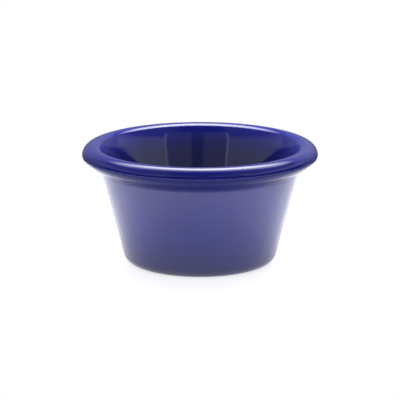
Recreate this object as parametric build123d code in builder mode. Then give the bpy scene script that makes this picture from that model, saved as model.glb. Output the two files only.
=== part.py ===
from build123d import *
from math import cos, radians, sin, tan
import os

# A small moulded ramekin with a full rounded rim, made the way such ware is pressed:
# a coloured body with a thin gloss film over the side that food touches.
# It stands on its foot ring, with the origin at the middle of the table under it, +Z up.
# All lengths are millimetres and all angles degrees.

# Rim
rim_radius = 42.0  # greatest radius, out to the trimmed mould edge
edge_height = 39.35  # height of the mould edge, where the two halves of the mould met
flash_stub = 0.1  # how far the trimmed mould edge stands proud
flash_height = 0.3  # height of the trimmed mould edge
crown_rise = 3.35  # from the mould edge up to the top of the rim
shoulder_turn = 45.0  # turn of the rim's tight outer arc, before the slacker one up to its top
inner_crown_radius = 4.0  # rounding from the top of the rim in toward the bowl
inner_crown_turn = 35.0  # turn of that rounding, before the lip
lip_radius = 1.0  # tight rounding at the rim's inner edge
lip_turn = 24.0  # turn of that rounding, before the slack flare
flare_radius = 19.0  # flare from the lip down to the bowl's straight wall
under_edge_radius = 1.4  # tight rounding below the mould edge
under_edge_turn = 38.0  # turn of that rounding, before the slacker one
under_round_radius = 9.0  # slack rounding from there to the rim's straight underside
under_lean = 62.0  # lean of that straight underside, away from upright
root_radius = 2.5  # rounding between the rim's underside and the outer wall

# Wall
rim_overhang = 4.85  # level with the mould edge, from the wall's line to the greatest radius
wall_draft = 15.0  # lean of the outer wall
extra_bowl_draft = 1.0  # how much more the bowl leans, so the wall thickens downward
wall_thickness = 2.9  # level with the mould edge, square to the outer wall
base_corner_radius = 4.8  # rounding from the outer wall to the foot

# Floor and foot
floor_thickness = 2.8
bowl_corner_radius = 5.0  # rounding between the bowl's wall and its floor
foot_recess = 0.9  # how far the underside is raised inside the foot ring
foot_width = 2.4  # flat face of the foot ring
recess_side_lean = 45.0  # lean of the step from the foot ring up to the raised underside
foot_edge_radius = 0.4  # rounding at the foot of that step and at its top

# Gloss film
film_thickness = 0.2

# Heights, leans and radii that follow
crown_height = edge_height + crown_rise
floor_height = foot_recess + floor_thickness
bowl_draft = wall_draft + extra_bowl_draft
dome_radius = rim_radius - flash_stub


def wall_radius(height: float) -> float:
    """Radius of the outer wall's straight line at a height."""
    return rim_radius - rim_overhang - (edge_height - height) * tan(radians(wall_draft))


def bowl_radius(height: float) -> float:
    """Radius of the bowl's straight wall at a height."""
    at_edge = wall_radius(edge_height) - wall_thickness / cos(radians(wall_draft))
    return at_edge - (edge_height - height) * tan(radians(bowl_draft))


def setback(radius: float, lean: float) -> float:
    """Length that a rounding takes from each line where a level one meets a leaning wall."""
    return radius * tan(radians(90 - lean) / 2)


def round_radii(width: float, height: float) -> tuple[float, float]:
    """Radii of the two arcs, tight then slack, that turn a quarter over a width and a height."""
    turn = radians(shoulder_turn)
    slack = (width - height) / (cos(turn) + sin(turn) - 1)
    tight = width - slack * cos(turn)
    return tight, tight + slack


# The flare meets the bowl's straight wall at this height
lip_start = radians(inner_crown_turn)
lip_end = radians(inner_crown_turn + lip_turn)
crown_drop = inner_crown_radius * (1 - cos(lip_start))
lip_drop = lip_radius * (cos(lip_start) - cos(lip_end))
flare_drop = flare_radius * (cos(lip_end) - sin(radians(bowl_draft)))
flare_height = crown_height - crown_drop - lip_drop - flare_drop

# The top of the rim stands further out than that, by the width of the three arcs
crown_width = inner_crown_radius * sin(lip_start)
lip_width = lip_radius * (sin(lip_end) - sin(lip_start))
flare_width = flare_radius * (cos(radians(bowl_draft)) - sin(lip_end))
crown_radius = bowl_radius(flare_height) + flare_width + lip_width + crown_width

# The rim's straight underside starts below the mould edge and runs in to the wall's line
edge_end = radians(under_edge_turn)
round_end = radians(under_lean)
edge_width = under_edge_radius * (1 - cos(edge_end))
edge_drop = under_edge_radius * sin(edge_end)
under_radius = dome_radius - edge_width - under_round_radius * (cos(edge_end) - cos(round_end))
round_drop = under_round_radius * (sin(round_end) - sin(edge_end))
under_height = edge_height - flash_height - edge_drop - round_drop
under_width = under_radius - wall_radius(under_height)
root_height = under_height - under_width / (tan(radians(under_lean)) - tan(radians(wall_draft)))

# The foot ring ends where the rounding up to the outer wall starts
foot_outer_radius = wall_radius(0) - setback(base_corner_radius, wall_draft)
foot_inner_radius = foot_outer_radius - foot_width
recess_radius = foot_inner_radius - foot_recess * tan(radians(recess_side_lean))


def draw_food_side(depth: float) -> None:
    """Draw the side that food touches, or the line that runs a depth under it.

    It goes from the mould edge over the rim and down the bowl to the middle of the floor.
    """
    tight, slack = round_radii(dome_radius - crown_radius, crown_rise)
    edge = (dome_radius - depth, edge_height)
    shoulder = JernArc(edge, (0, 1), tight - depth, shoulder_turn)
    crown = JernArc(shoulder @ 1, shoulder % 1, slack - depth, 90 - shoulder_turn)
    inner = JernArc(crown @ 1, crown % 1, inner_crown_radius - depth, inner_crown_turn)
    lip = JernArc(inner @ 1, inner % 1, lip_radius - depth, lip_turn)
    flare_turn = 90 - bowl_draft - inner_crown_turn - lip_turn
    flare = JernArc(lip @ 1, lip % 1, flare_radius - depth, flare_turn)
    corner_radius = bowl_corner_radius + depth
    level = floor_height - depth
    corner_start = bowl_radius(level) + depth / cos(radians(bowl_draft))
    corner_start -= setback(corner_radius, bowl_draft)
    corner = JernArc((corner_start, level), (1, 0), corner_radius, 90 - bowl_draft)
    Line(flare @ 1, corner @ 1)
    Line(corner @ 0, (0, level))


# The moulded body: foot, wall and rim, short of the finished food side by the film
with BuildPart() as moulded_body:
    with BuildSketch(Plane.XZ) as body_section:
        with BuildLine() as body_outline:
            foot = FilletPolyline(
                (0, foot_recess),
                (recess_radius, foot_recess),
                (foot_inner_radius, 0),
                (foot_outer_radius, 0),
                radius=foot_edge_radius,
            )
            base_corner = JernArc(foot @ 1, foot % 1, base_corner_radius, 90 - wall_draft)
            wall = FilletPolyline(
                base_corner @ 1,
                (wall_radius(root_height), root_height),
                (under_radius, under_height),
                radius=root_radius,
            )
            under_turn = under_lean - under_edge_turn
            under_round = JernArc(wall @ 1, wall % 1, under_round_radius, under_turn)
            under_edge = JernArc(under_round @ 1, under_round % 1, under_edge_radius, under_edge_turn)
            Polyline(
                under_edge @ 1,
                (rim_radius, edge_height - flash_height),
                (rim_radius, edge_height),
                (dome_radius - film_thickness, edge_height),
            )
            draw_food_side(film_thickness)
            Line((0, floor_height - film_thickness), (0, foot_recess))
        make_face()
    revolve(axis=Axis.Z)
moulded_body.part.label = "moulded_body"

# The gloss film: from the mould edge over the rim, down the bowl and across its floor
with BuildPart() as gloss_film:
    with BuildSketch(Plane.XZ) as film_section:
        with BuildLine() as film_outline:
            draw_food_side(0)
            draw_food_side(film_thickness)
            Line((dome_radius, edge_height), (dome_radius - film_thickness, edge_height))
            Line((0, floor_height), (0, floor_height - film_thickness))
        make_face()
    revolve(axis=Axis.Z)
gloss_film.part.label = "gloss_film"

os.makedirs("parts", exist_ok=True)
export_step(moulded_body.part, "parts/moulded_body.step")
export_step(gloss_film.part, "parts/gloss_film.step")
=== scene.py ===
"""Looks of a small moulded ramekin in cobalt resin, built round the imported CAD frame.

The pieces are turned round the ramekin's own axis in the frame's metres, +Z up, and stand on z = 0.
"""

import logging
import math
from collections.abc import Callable
from dataclasses import dataclass, field
from enum import Enum

import bmesh
import bpy
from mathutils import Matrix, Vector, noise


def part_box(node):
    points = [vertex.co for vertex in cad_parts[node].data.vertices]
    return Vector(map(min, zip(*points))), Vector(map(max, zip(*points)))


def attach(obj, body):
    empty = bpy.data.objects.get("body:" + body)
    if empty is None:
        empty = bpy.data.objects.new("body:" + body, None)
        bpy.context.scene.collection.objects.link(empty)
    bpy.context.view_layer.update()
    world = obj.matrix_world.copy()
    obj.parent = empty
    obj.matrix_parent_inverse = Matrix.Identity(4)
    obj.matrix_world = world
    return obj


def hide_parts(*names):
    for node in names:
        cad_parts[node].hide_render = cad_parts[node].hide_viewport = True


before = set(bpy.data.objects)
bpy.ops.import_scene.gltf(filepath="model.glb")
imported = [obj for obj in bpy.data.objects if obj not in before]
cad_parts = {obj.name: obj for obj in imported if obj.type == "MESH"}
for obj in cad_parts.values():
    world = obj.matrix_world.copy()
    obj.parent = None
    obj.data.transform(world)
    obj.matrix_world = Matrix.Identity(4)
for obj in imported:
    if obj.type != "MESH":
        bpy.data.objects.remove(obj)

log = logging.getLogger("ramekin")

MM = 0.001
BODY = "root"
RAYS_THAT_SHOW = ("Camera", "Glossy", "Transmission")
WHITE = (1.0, 1.0, 1.0, 1.0)

# Steps of an arc: the most degrees that one may turn, and the fewest steps
ARC_STEP = 4.0
FEWEST_STEPS = 2

# A point this close to the axis lies on it, and an edge that bends by more degrees is sharp
ON_AXIS = 1e-9
SHARP_ANGLE = 30.0

# The side of the foot's recess stands at half a right angle, so it goes in as far as it goes up
HALF_RIGHT = 45.0

DISC_SIDES = 96

# How much a ring's noise changes along the ring, for each millimetre
RING_WAVER = 0.03

Colour = tuple[float, float, float]
Point = tuple[float, float]
Pair = tuple[float, float]
Triple = tuple[float, float, float]


class Wire:
    """One output of a shader node, which takes part in sums as a plain value does."""

    def __init__(self, board: "Board", socket: bpy.types.NodeSocket) -> None:
        """Wrap a socket.

        Args:
            board: the node tree that the socket belongs to.
            socket: the output.
        """
        self.board = board
        self.socket = socket

    def __add__(self, other: "Wire | float") -> "Wire":
        """Sum of two values."""
        return self.board.math("ADD", self, other)

    def __radd__(self, other: float) -> "Wire":
        """Sum with a plain number on the left."""
        return self.board.math("ADD", other, self)

    def __sub__(self, other: "Wire | float") -> "Wire":
        """Difference of two values."""
        return self.board.math("SUBTRACT", self, other)

    def __rsub__(self, other: float) -> "Wire":
        """Difference with a plain number on the left."""
        return self.board.math("SUBTRACT", other, self)

    def __mul__(self, other: "Wire | float") -> "Wire":
        """Product of two values."""
        return self.board.math("MULTIPLY", self, other)

    def __rmul__(self, other: float) -> "Wire":
        """Product with a plain number on the left."""
        return self.board.math("MULTIPLY", other, self)

    def __truediv__(self, other: "Wire | float") -> "Wire":
        """Quotient of two values."""
        return self.board.math("DIVIDE", self, other)

    def __rtruediv__(self, other: float) -> "Wire":
        """Quotient with a plain number on the left."""
        return self.board.math("DIVIDE", other, self)

    def __pow__(self, power: float) -> "Wire":
        """Value raised to a power."""
        return self.board.math("POWER", self, power)

    def __abs__(self) -> "Wire":
        """Size of the value without its sign."""
        return self.board.math("ABSOLUTE", self)

    def rising(self, low: float, high: float) -> "Wire":
        """Smooth step from 0 at low to 1 at high.

        Args:
            low: the value where the step starts.
            high: the value where it ends.

        Returns:
            The step, from 0 to 1.
        """
        settings = {"interpolation_type": "SMOOTHSTEP"}
        sockets = {"Value": self, "From Min": low, "From Max": high}
        return self.board.out("ShaderNodeMapRange", settings, sockets)

    def falling(self, low: float, high: float) -> "Wire":
        """Smooth step from 1 at low to 0 at high."""
        return 1.0 - self.rising(low, high)


class Board:
    """A node tree that is being filled.

    A Mix node repeats its sockets' names for each type of data, so those for colours are numbered.
    """

    MIX_FACTOR = 0
    MIX_UNDER = 6
    MIX_OVER = 7
    MIX_RESULT = 2

    def __init__(self, tree: bpy.types.NodeTree) -> None:
        """Empty the tree.

        Args:
            tree: the tree of a material or of the world.
        """
        self.tree = tree
        tree.nodes.clear()

    def add(
        self,
        kind: str,
        settings: dict | None = None,
        sockets: dict | None = None,
    ) -> bpy.types.Node:
        """Add a node of any type.

        Args:
            kind: the node's type.
            settings: its properties, set first.
            sockets: values or wires for its inputs, by name or by number.

        Returns:
            The node.
        """
        node = self.tree.nodes.new(kind)
        for name, value in (settings or {}).items():
            setattr(node, name, value)
        for name, value in (sockets or {}).items():
            if isinstance(value, Wire):
                self.tree.links.new(value.socket, node.inputs[name])
            else:
                node.inputs[name].default_value = value
        return node

    def out(
        self,
        kind: str,
        settings: dict | None = None,
        sockets: dict | None = None,
        output: int | str = 0,
    ) -> Wire:
        """Add a node and return one of its outputs.

        Args:
            kind: the node's type.
            settings: its properties.
            sockets: values or wires for its inputs.
            output: the output's number or name.

        Returns:
            The output as a wire.
        """
        return Wire(self, self.add(kind, settings, sockets).outputs[output])

    def math(self, operation: str, *values: Wire | float) -> Wire:
        """Add a Math node.

        Args:
            operation: what it does.
            values: one or two inputs.

        Returns:
            The result.
        """
        return self.out("ShaderNodeMath", {"operation": operation}, dict(enumerate(values)))

    def vector(self, operation: str, *values: Wire | Triple) -> Wire:
        """Add a Vector Math node.

        Args:
            operation: what it does.
            values: one or two inputs.

        Returns:
            The resulting vector.
        """
        return self.out("ShaderNodeVectorMath", {"operation": operation}, dict(enumerate(values)))

    def scaled(self, value: Wire, factor: float) -> Wire:
        """Make a vector longer or shorter.

        Args:
            value: the vector.
            factor: how many times its length.

        Returns:
            The scaled vector.
        """
        sockets = {0: value, "Scale": factor}
        return self.out("ShaderNodeVectorMath", {"operation": "SCALE"}, sockets)

    def length(self, value: Wire) -> Wire:
        """Length of a vector."""
        return self.out("ShaderNodeVectorMath", {"operation": "LENGTH"}, {0: value}, "Value")

    def seen(self) -> Wire:
        """Mask of the rays that show a surface: to the camera, in gloss and through glass.

        Returns:
            1 for those rays, 0 for all others.
        """
        path = self.add("ShaderNodeLightPath")
        masks = (Wire(self, path.outputs[f"Is {kind} Ray"]) for kind in RAYS_THAT_SHOW)
        camera, gloss, glass = masks
        return self.math("MAXIMUM", self.math("MAXIMUM", camera, gloss), glass)

    def blend(self, mask: Wire | float, under: Wire | Colour, over: Wire | Colour) -> Wire:
        """Mix two colours.

        Args:
            mask: 0 for under, 1 for over.
            under: a colour or a wire.
            over: a colour or a wire.

        Returns:
            The mixed colour.
        """
        low, high = (c if isinstance(c, Wire) else (*c, 1.0) for c in (under, over))
        sockets = {self.MIX_FACTOR: mask, self.MIX_UNDER: low, self.MIX_OVER: high}
        return self.out("ShaderNodeMix", {"data_type": "RGBA"}, sockets, self.MIX_RESULT)


def new_material(name: str) -> tuple[bpy.types.Material, Board]:
    """Start a material.

    Args:
        name: its name.

    Returns:
        The material and its empty node tree.
    """
    material = bpy.data.materials.new(name)
    material.use_nodes = True
    return material, Board(material.node_tree)


@dataclass(frozen=True)
class Grain:
    """Size of a soft noise, and the smooth step that makes a mask of it.

    The size is a blotch's width in millimetres. Detail counts the octaves of finer noise on top,
    and stretch squeezes the noise along each axis, over 1 for finer.
    """

    size: float
    detail: float
    step: Pair = (0.0, 1.0)
    stretch: Triple = (1.0, 1.0, 1.0)


@dataclass(frozen=True)
class Spots:
    """Where a point of the surface lies, in millimetres, as wires."""

    place: Wire
    reach: Wire
    height: Wire

    @classmethod
    def read(cls, board: Board) -> "Spots":
        """Read them from object coordinates.

        Args:
            board: the material's tree.

        Returns:
            The point as a vector, its distance from the axis and its height.
        """
        metres = board.out("ShaderNodeTexCoord", output="Object")
        place = board.scaled(metres, 1.0 / MM)
        reach = board.length(board.vector("MULTIPLY", place, (1.0, 1.0, 0.0)))
        height = board.out("ShaderNodeSeparateXYZ", sockets={0: place}, output="Z")
        return cls(place, reach, height)

    def blotches(self, grain: Grain) -> Wire:
        """Soft noise over the surface.

        Args:
            grain: how large and how fine it is.

        Returns:
            Noise from 0 to 1, about 0.5 in the mean.
        """
        board = self.place.board
        squeezed = board.vector("MULTIPLY", self.place, grain.stretch)
        sockets = {"Vector": squeezed, "Scale": 1.0 / grain.size, "Detail": grain.detail}
        return board.out("ShaderNodeTexNoise", sockets=sockets)

    def mask(self, grain: Grain) -> Wire:
        """Mask of the blotches that pass a grain's step."""
        return self.blotches(grain).rising(*grain.step)

    def rings(self, grain: Grain) -> Wire:
        """Fine lines that run round the axis, as turning and wiping leave.

        Args:
            grain: its size is the width of a line.

        Returns:
            Noise from 0 to 1.
        """
        board = self.place.board
        around = board.scaled(self.place, RING_WAVER)
        sides = {0: self.reach / grain.size, 2: self.height / grain.size}
        across = board.out("ShaderNodeCombineXYZ", sockets=sides)
        both = board.vector("ADD", around, across)
        sockets = {"Vector": both, "Scale": 1.0, "Detail": grain.detail}
        return board.out("ShaderNodeTexNoise", sockets=sockets)


class Polish(Enum):
    """How smooth a surface is, as a roughness."""

    MIRROR = 0.045
    SATIN = 0.2
    CUT = 0.42


@dataclass(frozen=True)
class Resin:
    """Cured cobalt resin, and what all its finishes share.

    A share says how much of a mask counts, from 0 to 1. The polish is the least roughness, and the
    haze is what a full mask adds to it. The peel is the depth of the relief in millimetres.
    """

    colour: Colour
    polish: Polish
    pale: Colour = (0.075, 0.085, 0.30)
    ior: float = 1.6
    mottle: Grain = Grain(size=14.0, detail=4.0, step=(0.3, 0.7))
    mottle_levels: Pair = (0.93, 1.07)
    rubs: Grain = Grain(size=9.0, detail=6.0, step=(0.66, 0.86))
    pale_share: float = 0.12
    haze: float = 0.04
    haze_patches: Grain = Grain(size=11.0, detail=3.0, step=(0.35, 0.75))
    patch_share: float = 0.6
    wiping: Grain = Grain(size=0.35, detail=3.0, step=(0.55, 0.8))
    wiping_share: float = 0.3
    peel: float = 0.0025
    peel_grain: Grain = Grain(size=1.6, detail=1.0)
    hairs: Grain = Grain(size=0.12, detail=3.0)
    hair_share: float = 0.4

    def make(self, name: str) -> bpy.types.Material:
        """Make the material.

        Args:
            name: its name.

        Returns:
            The material.
        """
        material, board = new_material(name)
        spots = Spots.read(board)
        wear = self.wear(spots)
        sockets = {
            "Base Color": self.paint(board, spots, wear),
            "Roughness": self.roughness(spots, wear),
            "IOR": self.ior,
            "Normal": self.relief(board, spots, wear),
        }
        shader = self.surface(board, spots, sockets)
        board.add("ShaderNodeOutputMaterial", sockets={"Surface": shader})
        return material

    def surface(self, board: Board, spots: Spots, sockets: dict) -> Wire:
        """Shader of the whole surface, the same all over.

        Args:
            board: the material's tree.
            spots: where the point lies, not used here.
            sockets: the shader's inputs, by name.

        Returns:
            The shader.
        """
        return board.out("ShaderNodeBsdfPrincipled", sockets=sockets)

    def wear(self, spots: Spots) -> Wire:
        """Mask of worn places: a few faint rubs all over."""
        return spots.mask(self.rubs)

    def paint(self, board: Board, spots: Spots, wear: Wire) -> Wire:
        """Colour with a slow mottle, paler where worn.

        Args:
            board: the material's tree.
            spots: where the point lies.
            wear: mask of worn places.

        Returns:
            The colour.
        """
        deep, full = (tuple(level * part for part in self.colour) for level in self.mottle_levels)
        mottle = board.blend(spots.mask(self.mottle), deep, full)
        return board.blend(self.pale_share * wear, mottle, self.pale)

    def roughness(self, spots: Spots, wear: Wire) -> Wire:
        """Roughness with patches of haze, wiping lines and wear.

        Args:
            spots: where the point lies.
            wear: mask of worn places.

        Returns:
            The roughness.
        """
        patches = spots.mask(self.haze_patches)
        lines = spots.rings(self.wiping).rising(*self.wiping.step)
        share = self.patch_share * patches + self.wiping_share * lines + wear
        return self.polish.value + self.haze * share

    def relief(self, board: Board, spots: Spots, wear: Wire) -> Wire:
        """Faint unevenness that the mould leaves under the gloss, and hairlines where worn.

        Args:
            board: the material's tree.
            spots: where the point lies.
            wear: mask of worn places.

        Returns:
            The bent normal.
        """
        swell = spots.blotches(self.peel_grain)
        hairs = spots.rings(self.hairs) * wear
        height = swell + self.hair_share * hairs
        sockets = {"Strength": 1.0, "Distance": self.peel * MM, "Height": height}
        return board.out("ShaderNodeBump", sockets=sockets)


@dataclass(frozen=True)
class FoodSide(Resin):
    """Gloss film over the food side, its colour darkened down in the bowl as painted shade.

    The painted shade's step in the bowl runs over distance from the axis, in millimetres.
    """

    colour: Colour = (0.012, 0.016, 0.25)
    polish: Polish = Polish.MIRROR
    haze: float = 0.03
    peel: float = 0.0015
    # Painted shade: the colour that the film takes down in the bowl
    deep: Colour = (0.012, 0.0135, 0.115)
    bowl: Pair = (31.8, 34.6)

    def paint(self, board: Board, spots: Spots, wear: Wire) -> Wire:
        """Colour of the film, darkened inside the lip as painted shade."""
        over_rim = super().paint(board, spots, wear)
        # Painted shade: the colour darkens toward the deep one inside the lip
        return board.blend(spots.reach.falling(*self.bowl), over_rim, self.deep)


@dataclass(frozen=True)
class PressedSide(Resin):
    """Outside of the body as the mould leaves it, scuffed at the foot and dull under the rim, its
    colour darkened toward the foot and under the rim as painted shade.

    Its own steps run over height, in millimetres, apart from the grain's.
    """

    colour: Colour = (0.012, 0.018, 0.32)
    polish: Polish = Polish.SATIN
    ior: float = 1.7
    scuffs: Grain = Grain(size=1.1, detail=6.0, step=(0.38, 0.62))
    scuffs_end: Pair = (0.045, 0.45)
    scuff_share: float = 0.75
    scuff_pale_share: float = 0.4
    rub_share: float = 0.35
    dull_from: Pair = (32.6, 34.4)
    dull_to: Pair = (38.75, 39.05)
    dull_share: float = 0.9
    dull_ior: float = 1.2
    # Painted shade: the colour that the body takes toward the foot and under the rim
    deep: Colour = (0.012, 0.015, 0.2)
    foot_shade_step: Pair = (0.0, 18.5)
    rim_shade_share: float = 0.95

    def surface(self, board: Board, spots: Spots, sockets: dict) -> Wire:
        """Shader of the surface, with less gloss under the rim.

        Args:
            board: the material's tree.
            spots: where the point lies.
            sockets: the shader's inputs, by name.

        Returns:
            The shader.
        """
        gloss = super().surface(board, spots, sockets)
        dull = super().surface(board, spots, sockets | {"IOR": self.dull_ior})
        mask = self.dull_share * self.band(spots)
        return board.out("ShaderNodeMixShader", sockets={0: mask, 1: gloss, 2: dull})

    def band(self, spots: Spots) -> Wire:
        """Mask of the underside of the rim, which is dull there and takes painted shade."""
        return spots.height.rising(*self.dull_from) * spots.height.falling(*self.dull_to)

    def paint(self, board: Board, spots: Spots, wear: Wire) -> Wire:
        """Colour of the body, darkened toward the foot and under the rim as painted shade.

        Args:
            board: the material's tree.
            spots: where the point lies.
            wear: mask of worn places.

        Returns:
            The colour.
        """
        above = super().paint(board, spots, wear)
        # Painted shade toward the foot and under the rim
        painted_shade_mask = spots.height.falling(*self.foot_shade_step) + self.rim_shade_share * self.band(spots)
        body = board.blend(painted_shade_mask, above, self.deep)
        return board.blend(self.scuff_pale_share * wear, body, self.pale)

    def wear(self, spots: Spots) -> Wire:
        """Mask of the foot ring's scuffs, and of faint rubs above them.

        Args:
            spots: where the point lies.

        Returns:
            The mask.
        """
        low = spots.height.falling(*self.scuffs_end)
        broken = spots.mask(self.scuffs)
        return self.scuff_share * low * broken + self.rub_share * super().wear(spots)


@dataclass(frozen=True)
class TrimmedEdge(Resin):
    """The mould edge where the flash was cut off: paler in colour as painted sheen, with short
    ticks paler still as painted glints.
    """

    # Painted sheen: a paler colour than the body's resin
    colour: Colour = (0.045, 0.05, 0.32)
    polish: Polish = Polish.CUT
    # Painted glints: the colour of the ticks
    pale: Colour = (0.14, 0.15, 0.42)
    pale_share: float = 0.6
    haze: float = 0.1
    ticks: Grain = Grain(size=1.4, detail=4.0, step=(0.48, 0.66), stretch=(1.0, 1.0, 6.0))

    def wear(self, spots: Spots) -> Wire:
        """Mask of the ticks, which follow the cut round the rim and carry painted glints."""
        return spots.mask(self.ticks)

    def paint(self, board: Board, spots: Spots, wear: Wire) -> Wire:
        """Colour of cut resin, paler as painted sheen and paler still on the ticks as painted
        glints.
        """
        return board.blend(self.pale_share * wear, self.colour, self.pale)


class Pen:
    """Draws a half outline of a turned piece, as points of radius and height."""

    def __init__(self, start: Point, heading: float) -> None:
        """Set the pen down.

        Args:
            start: radius and height of the first point.
            heading: direction in degrees, 0 outward and 90 up.
        """
        self.points: list[Point] = [start]
        self.heading = heading

    def line_to(self, point: Point) -> None:
        """Draw a straight line.

        Args:
            point: where it ends.
        """
        last = self.points[-1]
        self.heading = math.degrees(math.atan2(point[1] - last[1], point[0] - last[0]))
        self.points.append(point)

    def arc(self, radius: float, turn: float) -> None:
        """Draw an arc that carries on from the heading.

        Args:
            radius: its radius.
            turn: its angle in degrees, over 0 to the left.
        """
        side = math.copysign(1.0, turn)
        start = self.points[-1]
        inward = math.radians(self.heading + side * 90)
        centre = (start[0] + radius * math.cos(inward), start[1] + radius * math.sin(inward))
        steps = max(FEWEST_STEPS, math.ceil(abs(turn) / ARC_STEP))
        for step in range(1, steps + 1):
            angle = math.radians(self.heading + turn * step / steps - side * 90)
            reach = centre[0] + radius * math.cos(angle)
            height = centre[1] + radius * math.sin(angle)
            self.points.append((reach, height))
        self.heading += turn


def turned(
    name: str,
    outline: list[Point],
    segments: int,
    shift: Callable[[int, float], Point] | None = None,
) -> bpy.types.Object:
    """Turn an outline round the Z axis into a smooth closed mesh.

    Args:
        name: the object's name.
        outline: radius and height of each point in turn; one at radius 0 becomes a pole.
        segments: how many steps go round.
        shift: gives how far a point moves outward and up, from its number and angle.

    Returns:
        The new object, linked to the scene.
    """
    shape = bmesh.new()
    rows = []
    for number, (reach, height) in enumerate(outline):
        if math.isclose(reach, 0.0, abs_tol=ON_AXIS):
            rows.append([shape.verts.new((0.0, 0.0, height))] * segments)
            continue
        row = []
        for segment in range(segments):
            angle = math.tau * segment / segments
            out, up = shift(number, angle) if shift else (0.0, 0.0)
            spot = ((reach + out) * math.cos(angle), (reach + out) * math.sin(angle), height + up)
            row.append(shape.verts.new(spot))
        rows.append(row)
    closed = outline[0][0] > 0.0
    pairs = list(zip(rows, rows[1:] + rows[:1])) if closed else list(zip(rows, rows[1:]))
    for lower, upper in pairs:
        for segment in range(segments):
            after = (segment + 1) % segments
            corners = [lower[segment], lower[after], upper[after], upper[segment]]
            shape.faces.new(list(dict.fromkeys(corners)))
    bmesh.ops.recalc_face_normals(shape, faces=shape.faces)
    mesh = bpy.data.meshes.new(name)
    shape.to_mesh(mesh)
    shape.free()
    mesh.shade_smooth()
    mesh.set_sharp_from_angle(angle=math.radians(SHARP_ANGLE))
    piece = bpy.data.objects.new(name, mesh)
    bpy.context.scene.collection.objects.link(piece)
    return piece


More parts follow.
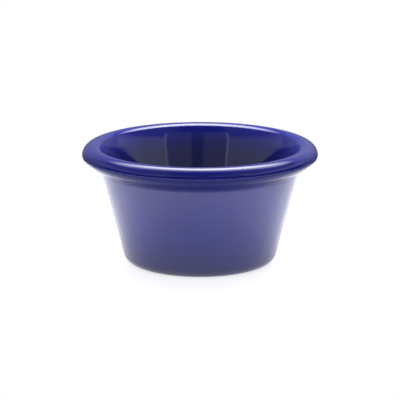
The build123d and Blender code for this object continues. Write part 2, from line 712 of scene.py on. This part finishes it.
@dataclass(frozen=True)
class Section:
    """Half section of the ramekin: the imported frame's own reach and heights, and sizes between.

    Drafts, leans and turns are in degrees. A draft or a lean is measured from upright.
    """

    rim_radius: float
    dome_radius: float
    crown_height: float
    film: float
    floor_height: float
    crown_rise: float = 3.35 * MM
    edge_drop: float = 0.3 * MM
    shoulder_turn: float = 45.0
    inner_crown_radius: float = 4.0 * MM
    inner_crown_turn: float = 35.0
    lip_radius: float = 1.0 * MM
    lip_turn: float = 24.0
    flare_radius: float = 19.0 * MM
    under_edge_radius: float = 1.4 * MM
    under_edge_turn: float = 38.0
    under_round_radius: float = 9.0 * MM
    under_lean: float = 62.0
    root_radius: float = 2.5 * MM
    rim_overhang: float = 4.85 * MM
    wall_draft: float = 15.0
    bowl_draft: float = 16.0
    wall_thickness: float = 2.9 * MM
    base_corner: float = 4.8 * MM
    bowl_corner: float = 5.0 * MM
    foot_recess: float = 0.9 * MM
    foot_width: float = 2.4 * MM
    foot_edge: float = 0.4 * MM

    @classmethod
    def from_frame(cls) -> "Section":
        """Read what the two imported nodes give.

        Returns:
            The section.
        """
        body_low, body_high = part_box("moulded_body")
        film_low, film_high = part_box("gloss_film")
        film = film_high.z - body_high.z
        return cls(
            rim_radius=body_high.x,
            dome_radius=film_high.x,
            crown_height=film_high.z,
            film=film,
            floor_height=film_low.z + film,
        )

    @property
    def edge_height(self) -> float:
        """Height of the mould edge."""
        return self.crown_height - self.crown_rise

    def wall_reach(self, height: float) -> float:
        """Radius of the outer wall's straight line at a height."""
        drop = self.edge_height - height
        return self.rim_radius - self.rim_overhang - drop * math.tan(math.radians(self.wall_draft))

    def bowl_reach(self, height: float) -> float:
        """Radius of the bowl's straight wall at a height.

        Args:
            height: the height.

        Returns:
            The radius.
        """
        thickness = self.wall_thickness / math.cos(math.radians(self.wall_draft))
        at_edge = self.wall_reach(self.edge_height) - thickness
        return at_edge - (self.edge_height - height) * math.tan(math.radians(self.bowl_draft))

    @staticmethod
    def setback(radius: float, lean: float) -> float:
        """Length that a rounding takes where a level line meets a leaning wall."""
        return radius * math.tan(math.radians(90 - lean) / 2)

    def round_radii(self, width: float, height: float) -> tuple[float, float]:
        """Radii of the tight and the slack arc that turn a quarter over a width and a height.

        Args:
            width: how far in the two arcs reach together.
            height: how far up.

        Returns:
            The tight radius and the slack one.
        """
        turn = math.radians(self.shoulder_turn)
        slack = (width - height) / (math.cos(turn) + math.sin(turn) - 1)
        tight = width - slack * math.cos(turn)
        return tight, tight + slack

    def crown_reach(self) -> float:
        """Radius of the top of the rim.

        Returns:
            The radius, from the bowl's wall out over the flare, the lip and the inner rounding.
        """
        lip_end = self.inner_crown_turn + self.lip_turn
        flare_end = 90 - self.bowl_draft
        ends = (0.0, self.inner_crown_turn, lip_end, flare_end)
        turns = [math.radians(end) for end in ends]
        radii = (self.inner_crown_radius, self.lip_radius, self.flare_radius)
        arcs = list(zip(radii, turns, turns[1:]))
        drop = sum(radius * (math.cos(start) - math.cos(end)) for radius, start, end in arcs)
        width = sum(radius * (math.sin(end) - math.sin(start)) for radius, start, end in arcs)
        return self.bowl_reach(self.crown_height - drop) + width

    def food_side(self, depth: float) -> list[Point]:
        """Line of the side that food touches.

        Args:
            depth: how far under the surface the line runs.

        Returns:
            Points from the mould edge over the rim and down to the middle of the floor.
        """
        tight, slack = self.round_radii(self.dome_radius - self.crown_reach(), self.crown_rise)
        pen = Pen((self.dome_radius - depth, self.edge_height), 90.0)
        pen.arc(tight - depth, self.shoulder_turn)
        pen.arc(slack - depth, 90 - self.shoulder_turn)
        pen.arc(self.inner_crown_radius - depth, self.inner_crown_turn)
        pen.arc(self.lip_radius - depth, self.lip_turn)
        flare_turn = 90 - self.bowl_draft - self.inner_crown_turn - self.lip_turn
        pen.arc(self.flare_radius - depth, flare_turn)
        corner = self.bowl_corner + depth
        level = self.floor_height - depth
        lean = math.radians(self.bowl_draft)
        foot = self.bowl_reach(level) + depth / math.cos(lean)
        rise = self.setback(corner, self.bowl_draft)
        pen.line_to((foot + rise * math.sin(lean), level + rise * math.cos(lean)))
        pen.arc(corner, self.bowl_draft - 90)
        pen.line_to((0.0, level))
        return pen.points

    def outside(self) -> list[Point]:
        """Line of the body's outside.

        Returns:
            Points from the middle of the underside over the foot and up to the mould edge.
        """
        ring_out = self.wall_reach(0.0) - self.setback(self.base_corner, self.wall_draft)
        ring_in = ring_out - self.foot_width
        step_in = ring_in - self.foot_recess
        ease = self.foot_edge * math.tan(math.radians(HALF_RIGHT / 2))
        slant = ease * math.cos(math.radians(HALF_RIGHT))
        pen = Pen((0.0, self.foot_recess), 0.0)
        pen.line_to((step_in - ease, self.foot_recess))
        pen.arc(self.foot_edge, -HALF_RIGHT)
        pen.line_to((ring_in - slant, slant))
        pen.arc(self.foot_edge, HALF_RIGHT)
        pen.line_to((ring_out, 0.0))
        pen.arc(self.base_corner, 90 - self.wall_draft)
        turns = (self.under_edge_turn, self.under_lean, self.wall_draft)
        edge, under, draft = (math.radians(turn) for turn in turns)
        under_reach = self.dome_radius - self.under_edge_radius * (1 - math.cos(edge))
        under_reach -= self.under_round_radius * (math.cos(edge) - math.cos(under))
        under_height = self.edge_height - self.edge_drop - self.under_edge_radius * math.sin(edge)
        under_height -= self.under_round_radius * (math.sin(under) - math.sin(edge))
        gap = under_reach - self.wall_reach(under_height)
        run = self.root_radius * math.tan((under - draft) / 2) * math.cos(draft)
        root_height = under_height - gap / (math.tan(under) - math.tan(draft)) - run
        pen.line_to((self.wall_reach(root_height), root_height))
        pen.arc(self.root_radius, self.wall_draft - self.under_lean)
        pen.line_to((under_reach, under_height))
        pen.arc(self.under_round_radius, self.under_lean - self.under_edge_turn)
        pen.arc(self.under_edge_radius, self.under_edge_turn)
        pen.line_to((self.dome_radius, self.edge_height))
        return pen.points


@dataclass(frozen=True)
class Trim:
    """How unevenly the knife cut the mould edge, from noise that is read on circles.

    A larger circle gives a finer waver, and a place is how far along its axis the circle lies. The
    shares say how much of each noise, of the stub and of the bevel the cut takes.
    """

    stub: float
    bevel: float
    inner_points: tuple[int, int]
    slow_circle: float = 3.0
    slow_place: float = 0.3
    slow_share: float = 0.5
    fine_circle: float = 40.0
    fine_place_step: float = 0.2
    fine_share: float = 0.3
    nick_circle: float = 17.0
    nick_place: float = 5.0
    nick_from: float = 0.3
    nick_share: float = 1.5
    mean_share: float = 0.35
    stub_share: float = 0.75
    bevel_share: float = 0.3

    @staticmethod
    def waver(angle: float, circle: float, place: float) -> float:
        """Noise from -1 to 1 that closes on itself after one turn."""
        return noise.noise(Vector((circle * math.cos(angle), circle * math.sin(angle), place)))

    def cut(self, number: int, angle: float) -> Point:
        """How far the knife went in at one point of the edge's outline.

        Args:
            number: the point's number, those inside the body being left alone.
            angle: its angle round the rim.

        Returns:
            How far it moves outward and up.
        """
        if number in self.inner_points:
            return 0.0, 0.0
        slow = self.waver(angle, self.slow_circle, self.slow_place)
        fine = self.waver(angle, self.fine_circle, self.fine_place_step * number)
        nick = max(0.0, self.waver(angle, self.nick_circle, self.nick_place) - self.nick_from)
        depth = self.mean_share + self.slow_share * slow + self.fine_share * fine
        inward = min(1.0, max(0.0, depth + self.nick_share * nick))
        return -self.stub_share * self.stub * inward, -self.bevel_share * self.bevel * abs(fine)


@dataclass
class Cup:
    """The moulded body with its trimmed mould edge and the gloss film on its food side."""

    section: Section
    segments: int = 288
    edge_segments: int = 1080
    edge_sink: float = 0.25 * MM
    edge_round: float = 0.03 * MM
    pieces: list[bpy.types.Object] = field(default_factory=list)

    def build_body(self) -> bpy.types.Object:
        """Turn the body, closed under the film."""
        outline = self.section.outside() + self.section.food_side(self.section.film)
        return turned("pressed_body", outline, self.segments)

    def build_film(self) -> bpy.types.Object:
        """Turn the film, a thin skin over rim, bowl and floor.

        Returns:
            The film.
        """
        top = self.section.food_side(0.0)
        under = self.section.food_side(self.section.film)
        return turned("gloss_skin", top[::-1] + under, self.segments)

    def build_edge(self) -> bpy.types.Object:
        """Turn the mould edge, whose outside is as uneven as the trimming left it.

        Returns:
            A thin ring that is let into the body.
        """
        sec = self.section
        low, high = sec.edge_height - sec.edge_drop, sec.edge_height
        inner, outer = sec.dome_radius - self.edge_sink, sec.rim_radius
        bevel = self.edge_round
        outline = [
            (inner, low),
            (outer - bevel, low),
            (outer, low + bevel),
            (outer, high - bevel),
            (outer - bevel, high),
            (inner, high),
        ]
        trim = Trim(sec.rim_radius - sec.dome_radius, bevel, (0, len(outline) - 1))
        return turned("mould_edge", outline, self.edge_segments, trim.cut)

    def build(self) -> None:
        """Build the three pieces and place them on the frame."""
        body, film, edge = self.build_body(), self.build_film(), self.build_edge()
        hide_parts("moulded_body")
        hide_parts("gloss_film")
        for piece, slot in ((body, "moulded_body"), (film, "gloss_film"), (edge, "moulded_body")):
            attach(piece, BODY)
        self.pieces = [body, film, edge]

    def dress(self) -> None:
        """Give each piece its finish."""
        body, film, edge = self.pieces
        body.data.materials.append(PressedSide().make("pressed_resin"))
        film.data.materials.append(FoodSide().make("gloss_resin"))
        edge.data.materials.append(TrimmedEdge().make("cut_resin"))


@dataclass(frozen=True)
class Patch:
    """One lit or dark stretch of the studio, by direction from the ramekin, in degrees.

    Azimuth 0 is behind the ramekin, seen from the camera, and 90 to the right of it. The edge is
    half the width over which the stretch fades.
    """

    azimuth: float
    elevation: float
    half_width: float
    half_height: float
    level: float
    edge: float

    def mask(self, board: Board, azimuth: Wire, elevation: Wire) -> Wire:
        """Mask of the stretch.

        Args:
            board: the studio's tree.
            azimuth: direction round, as a wire in degrees.
            elevation: direction up, as a wire in degrees.

        Returns:
            1 inside, 0 outside, soft between.
        """
        around = abs(board.math("WRAP", azimuth - self.azimuth, 180.0, -180.0))
        above = abs(elevation - self.elevation)
        wide = around.falling(self.half_width - self.edge, self.half_width + self.edge)
        tall = above.falling(self.half_height - self.edge, self.half_height + self.edge)
        return wide * tall


def disc(name: str, radius: float, centre: Triple) -> bpy.types.Object:
    """Add a level disc to the scene.

    Args:
        name: the object's name.
        radius: its radius.
        centre: its middle.

    Returns:
        The new object.
    """
    bpy.ops.mesh.primitive_circle_add(
        vertices=DISC_SIDES, radius=radius, fill_type="NGON", location=centre
    )
    piece = bpy.context.object
    piece.name = name
    return piece


@dataclass
class Studio:
    """Pale floor, soft overhead light, and walls that only the gloss and the shade see."""

    floor_radius: float = 0.13
    floor_gap: float = 0.05 * MM
    floor_paint: float = 0.8
    floor_glow: float = 0.72
    shell_radius: float = 1.5
    shell_segments: int = 64
    shell_rings: int = 32
    base_level: float = 0.03
    fill: float = 0.28
    patches: tuple[Patch, ...] = (
        Patch(azimuth=-6, elevation=8, half_width=72, half_height=16, level=0.24, edge=10),
        Patch(azimuth=28, elevation=34, half_width=30, half_height=22, level=0.54, edge=12),
        Patch(azimuth=-28, elevation=34, half_width=26, half_height=22, level=0.4, edge=12),
        Patch(azimuth=97, elevation=20, half_width=38, half_height=10, level=0.7, edge=3),
        Patch(azimuth=-101, elevation=20, half_width=42, half_height=10, level=0.53, edge=3),
        Patch(azimuth=100, elevation=48, half_width=45, half_height=20, level=0.18, edge=8),
        Patch(azimuth=-100, elevation=48, half_width=45, half_height=20, level=0.18, edge=8),
        Patch(azimuth=176.5, elevation=27, half_width=41.5, half_height=11, level=0.3, edge=2),
        Patch(azimuth=177, elevation=27, half_width=8, half_height=11, level=0.12, edge=2),
        Patch(azimuth=134.5, elevation=26, half_width=1.5, half_height=10, level=1.0, edge=0.8),
        Patch(azimuth=-143.5, elevation=26, half_width=1.5, half_height=10, level=1.0, edge=0.8),
    )
    card_centre: Triple = (0.015, 0.167, 0.34)
    card_radius: float = 0.3
    card_spread: Pair = (0.14, 0.086)
    card_radiance: float = 11.6
    world_level: float = 0.5

    def build_floor(self) -> bpy.types.Object:
        """Lay the floor just under the foot ring.

        Returns:
            The floor: pale, white to the rays that show it, and clear from below.
        """
        floor = disc("floor", self.floor_radius, (0.0, 0.0, -self.floor_gap))
        material, board = new_material("pale_floor")
        paint = (self.floor_paint, self.floor_paint, self.floor_paint, 1.0)
        matt = board.out("ShaderNodeBsdfDiffuse", sockets={"Color": paint})
        strength = self.floor_glow * board.seen()
        glow = board.out("ShaderNodeEmission", sockets={"Strength": strength})
        lit = board.out("ShaderNodeAddShader", sockets={0: matt, 1: glow})
        clear = board.out("ShaderNodeBsdfTransparent")
        below = board.out("ShaderNodeNewGeometry", output="Backfacing")
        both = board.out("ShaderNodeMixShader", sockets={0: below, 1: lit, 2: clear})
        board.add("ShaderNodeOutputMaterial", sockets={"Surface": both})
        floor.data.materials.append(material)
        return floor

    @staticmethod
    def light_up(
        piece: bpy.types.Object, name: str, strength: Callable[[Board, Wire], Wire]
    ) -> None:
        """Make a stage piece glow without showing to the camera or casting a shadow.

        Args:
            piece: the walls or the card.
            name: its material's name.
            strength: works out the glow from the point's own coordinates.
        """
        material, board = new_material(name)
        place = board.out("ShaderNodeTexCoord", output="Object")
        glow = board.out("ShaderNodeEmission", sockets={"Strength": strength(board, place)})
        board.add("ShaderNodeOutputMaterial", sockets={"Surface": glow})
        piece.data.materials.append(material)
        piece.visible_camera = False
        piece.visible_shadow = False

    def wall_glow(self, board: Board, place: Wire) -> Wire:
        """Glow of the studio's walls in one direction.

        Args:
            board: their material's tree.
            place: a point of them.

        Returns:
            The level of the patches there, with the plain fill on top for the rays of the shade.
        """
        parts = board.add("ShaderNodeSeparateXYZ", sockets={0: place})
        x, y, z = (Wire(board, output) for output in parts.outputs)
        azimuth = board.math("DEGREES", board.math("ARCTAN2", x, y))
        elevation = board.math("DEGREES", board.math("ARCSINE", z / self.shell_radius))
        glow = self.base_level
        for patch in self.patches:
            glow = glow + patch.mask(board, azimuth, elevation) * (patch.level - glow)
        return glow + self.fill * (1.0 - board.seen())

    def build_shell(self) -> bpy.types.Object:
        """Raise the studio's walls and ceiling.

        Returns:
            One sphere round everything.
        """
        bpy.ops.mesh.primitive_uv_sphere_add(
            segments=self.shell_segments, ring_count=self.shell_rings, radius=self.shell_radius
        )
        shell = bpy.context.object
        shell.name = "studio_shell"
        self.light_up(shell, "studio_walls", self.wall_glow)
        return shell

    def card_glow(self, board: Board, place: Wire) -> Wire:
        """Glow of the soft light, a bell curve over the distance from its middle.

        Args:
            board: its material's tree.
            place: a point of it.

        Returns:
            The glow there.
        """
        spreads = board.vector("DIVIDE", place, (*self.card_spread, 1.0))
        reach = board.length(spreads)
        return self.card_radiance * board.math("EXPONENT", -0.5 * reach ** 2.0)

    def build_card(self) -> bpy.types.Object:
        """Hang the soft light above and a little behind the ramekin.

        Returns:
            The card that glows.
        """
        card = disc("soft_light", self.card_radius, self.card_centre)
        self.light_up(card, "soft_light", self.card_glow)
        return card

    def build_world(self) -> None:
        """Set a background that is white to the rays that show it and plain for the rest."""
        world = bpy.data.worlds.new("studio")
        world.use_nodes = True
        bpy.context.scene.world = world
        board = Board(world.node_tree)
        strength = self.world_level + (1.0 - self.world_level) * board.seen()
        ground = board.out("ShaderNodeBackground", sockets={"Color": WHITE, "Strength": strength})
        board.add("ShaderNodeOutputWorld", sockets={"Surface": ground})

    def build(self) -> None:
        """Set up everything that isn't the ramekin."""
        self.build_floor()
        self.build_shell()
        self.build_card()
        self.build_world()
        bpy.context.scene.view_settings.view_transform = "Standard"


@dataclass
class Viewpoint:
    """The photograph's camera, from a fit to the ramekin's outline in its 400 by 400 pixels."""

    distance: float = 1.0
    elevation: float = 13.5
    target_height: float = 20.0 * MM
    pixels_per_mm: float = 2.7955
    picture_width: float = 400.0
    sensor_width: float = 36.0
    below_middle: float = 6.1

    def build(self) -> None:
        """Place the camera and make it the scene's."""
        data = bpy.data.cameras.new("camera")
        data.sensor_width = self.sensor_width
        pixels_per_unit = self.pixels_per_mm / MM * self.distance
        data.lens = pixels_per_unit * self.sensor_width / self.picture_width
        camera = bpy.data.objects.new("camera", data)
        lean = math.radians(self.elevation)
        target = Vector((0.0, 0.0, self.target_height))
        camera.location = target + self.distance * Vector((0.0, -math.cos(lean), math.sin(lean)))
        raised = self.below_middle / self.pixels_per_mm * MM / math.cos(lean)
        aim = target + Vector((0.0, 0.0, raised)) - camera.location
        camera.rotation_euler = aim.to_track_quat("-Z", "Y").to_euler()
        bpy.context.scene.collection.objects.link(camera)
        bpy.context.scene.camera = camera


def main() -> None:
    """Build the ramekin and its studio round the frame, and report each piece."""
    logging.basicConfig(level=logging.INFO, format="%(name)s: %(message)s")
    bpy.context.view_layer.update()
    Viewpoint().build()
    cup = Cup(Section.from_frame())
    cup.build()
    cup.dress()
    Studio().build()
    for piece in cup.pieces:
        log.info("%s has %d faces", piece.name, len(piece.data.polygons))


if __name__ == "__main__":
    main()
